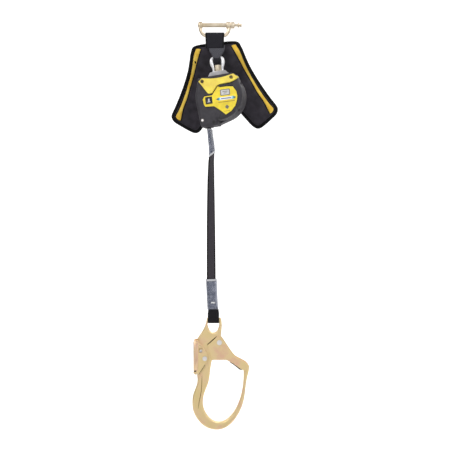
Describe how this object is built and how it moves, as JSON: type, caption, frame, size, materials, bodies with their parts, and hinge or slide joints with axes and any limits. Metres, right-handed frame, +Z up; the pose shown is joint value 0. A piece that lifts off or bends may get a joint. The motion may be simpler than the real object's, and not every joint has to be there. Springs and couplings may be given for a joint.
{
  "type": "self retracting lifeline",
  "caption": "Compact web self retracting lifeline with a D-link connector, back pad, swivel, spring-wound drum and a large gated steel hook.",
  "frame": {"origin": "middle of the D-link's cross pin, between its two ears", "axes": "+X along the cross pin towards its pull knob, +Z up as the device hangs, the housing's front faces -Y"},
  "size_m": [0.2345, 0.1079, 0.8772],
  "materials": {
    "connector_metal": "pale champagne plating",
    "strap_web": "woven black webbing",
    "pad_fabric": "charcoal padded fabric",
    "pad_binding": "black woven tape",
    "pad_stripe": "amber woven stripe",
    "bright_steel": "bright plated",
    "nut_metal": "plain zinc",
    "case_plastic": "charcoal moulded",
    "cap_plastic": "grey moulded",
    "yellow_plastic": "yellow moulded",
    "label_face": "printed film",
    "badge_face": "printed film",
    "screw_steel": "dark zinc",
    "frame_steel": "pressed sheet",
    "bush_bronze": "sintered",
    "drum_plastic": "moulded",
    "line_web": "woven web",
    "clear_sleeve": "clear film",
    "insert_card": "card",
    "hook_metal": "yellow zinc"
  },
  "bodies": {
    "connector": {"d_link": "connector_metal"},
    "cross_pin": {"cross_pin": "connector_metal", "pull_knob": "connector_metal"},
    "lock_sleeve": {"lock_sleeve": "connector_metal"},
    "strap": {"harness_strap": "strap_web", "eye_loop_web": "strap_web", "tack_patch": "strap_web", "pad_core": "pad_fabric", "pad_back_panel": "pad_fabric", "pad_binding": "pad_binding", "pad_stripe_right": "pad_stripe", "pad_stripe_left": "pad_stripe"},
    "swivel_eye": {"swivel_bail": "bright_steel"},
    "housing": {"swivel_stud": "nut_metal", "swivel_nut": "nut_metal", "front_cover": "case_plastic", "rear_cover": "case_plastic", "top_cap": "cap_plastic", "yellow_plate": "yellow_plastic", "label_plate": "label_face", "label_badge": "badge_face", "plate_screws": "screw_steel", "cover_screws": "screw_steel", "nozzle_insert": "case_plastic", "guide_bars": "case_plastic", "frame_front_plate": "frame_steel", "frame_rear_plate": "frame_steel", "shaft_bushes": "bush_bronze", "frame_spacers": "frame_steel", "swivel_block": "frame_steel", "ratchet_ring": "frame_steel", "spring_cup": "frame_steel", "power_spring": "frame_steel"},
    "drum": {"drum_core": "drum_plastic", "drum_flange_front": "frame_steel", "drum_flange_rear": "frame_steel", "wound_web": "line_web", "main_shaft": "frame_steel", "shaft_circlips": "frame_steel", "pawl_pins": "frame_steel"},
    "pawl_1": {"pawl_1": "frame_steel"},
    "pawl_2": {"pawl_2": "frame_steel"},
    "line": {"lifeline_web": "line_web", "upper_sleeve": "clear_sleeve", "lower_sleeve": "clear_sleeve", "label_insert": "insert_card", "end_loop": "strap_web"},
    "hook": {"hook_body": "hook_metal", "gate_rivet": "bright_steel", "lever_rivet": "bright_steel", "lever_spring": "frame_steel"},
    "gate": {"gate": "hook_metal"},
    "lock_lever": {"lock_lever": "hook_metal", "lever_pin": "bright_steel"}
  },
  "joints": [
    {"name": "pin_pull", "type": "slide", "parent": "connector", "child": "cross_pin", "axis": [1, 0, 0], "range_m": [0, 0.06]},
    {"name": "lock_turn", "type": "hinge", "parent": "connector", "child": "lock_sleeve", "pos_m": [0.038, 0, 0], "axis": [1, 0, 0], "range_deg": [0, 90]},
    {"name": "strap_swing", "type": "hinge", "parent": "connector", "child": "strap", "pos_m": [0, 0, -0.022], "axis": [1, 0, 0], "range_deg": [-60, 60]},
    {"name": "eye_swing", "type": "hinge", "parent": "strap", "child": "swivel_eye", "pos_m": [0.0042, 0, -0.07], "axis": [0.994, 0.0032, 0.1093], "range_deg": [-60, 5]},
    {"name": "swivel", "type": "hinge", "parent": "swivel_eye", "child": "housing", "pos_m": [0.00748, -0.00088, -0.09981], "axis": [-0.1093, 0.0293, 0.9936], "continuous": true},
    {"name": "line_payout", "type": "slide", "parent": "housing", "child": "line", "axis": [0.0168, 0, -0.9999], "range_m": [0, 0.93462], "stiffness_N_per_m": 9, "springref_m": -2.3, "deforming": ["lifeline_web"]},
    {"name": "drum_spin", "type": "hinge", "parent": "housing", "child": "drum", "pos_m": [0.01359, -0.00252, -0.15535], "axis": [0.2588, 0.9659, 0], "range_deg": [-2100, 0]},
    {"name": "pawl_1_swing", "type": "hinge", "parent": "drum", "child": "pawl_1", "pos_m": [0.03183, -0.0074, -0.1532], "axis": [0.2588, 0.9659, 0], "range_deg": [0, 25], "stiffness_Nm_per_rad": 0.004, "springref_deg": -20.05},
    {"name": "pawl_2_swing", "type": "hinge", "parent": "drum", "child": "pawl_2", "pos_m": [-0.00464, 0.00237, -0.1575], "axis": [0.2588, 0.9659, 0], "range_deg": [0, 25], "stiffness_Nm_per_rad": 0.004, "springref_deg": -20.05},
    {"name": "hook_swing", "type": "hinge", "parent": "line", "child": "hook", "pos_m": [-0.003, 0.00408, -0.634], "axis": [1, 0, 0], "range_deg": [-70, 70]},
    {"name": "lever_press", "type": "hinge", "parent": "hook", "child": "lock_lever", "pos_m": [-0.0213, 0.00408, -0.7154], "axis": [0, 1, 0], "range_deg": [-8, 0], "stiffness_Nm_per_rad": 0.8, "springref_deg": 20.05},
    {"name": "gate_swing", "type": "hinge", "parent": "hook", "child": "gate", "pos_m": [0.01, 0.00408, -0.6814], "axis": [0, 1, 0], "range_deg": [0, 45], "stiffness_Nm_per_rad": 0.25, "springref_deg": -40.11}
  ],
  "couplings": [
    {"joint": "drum_spin", "follows": "line_payout", "rad_per_m": -39.216}
  ]
}
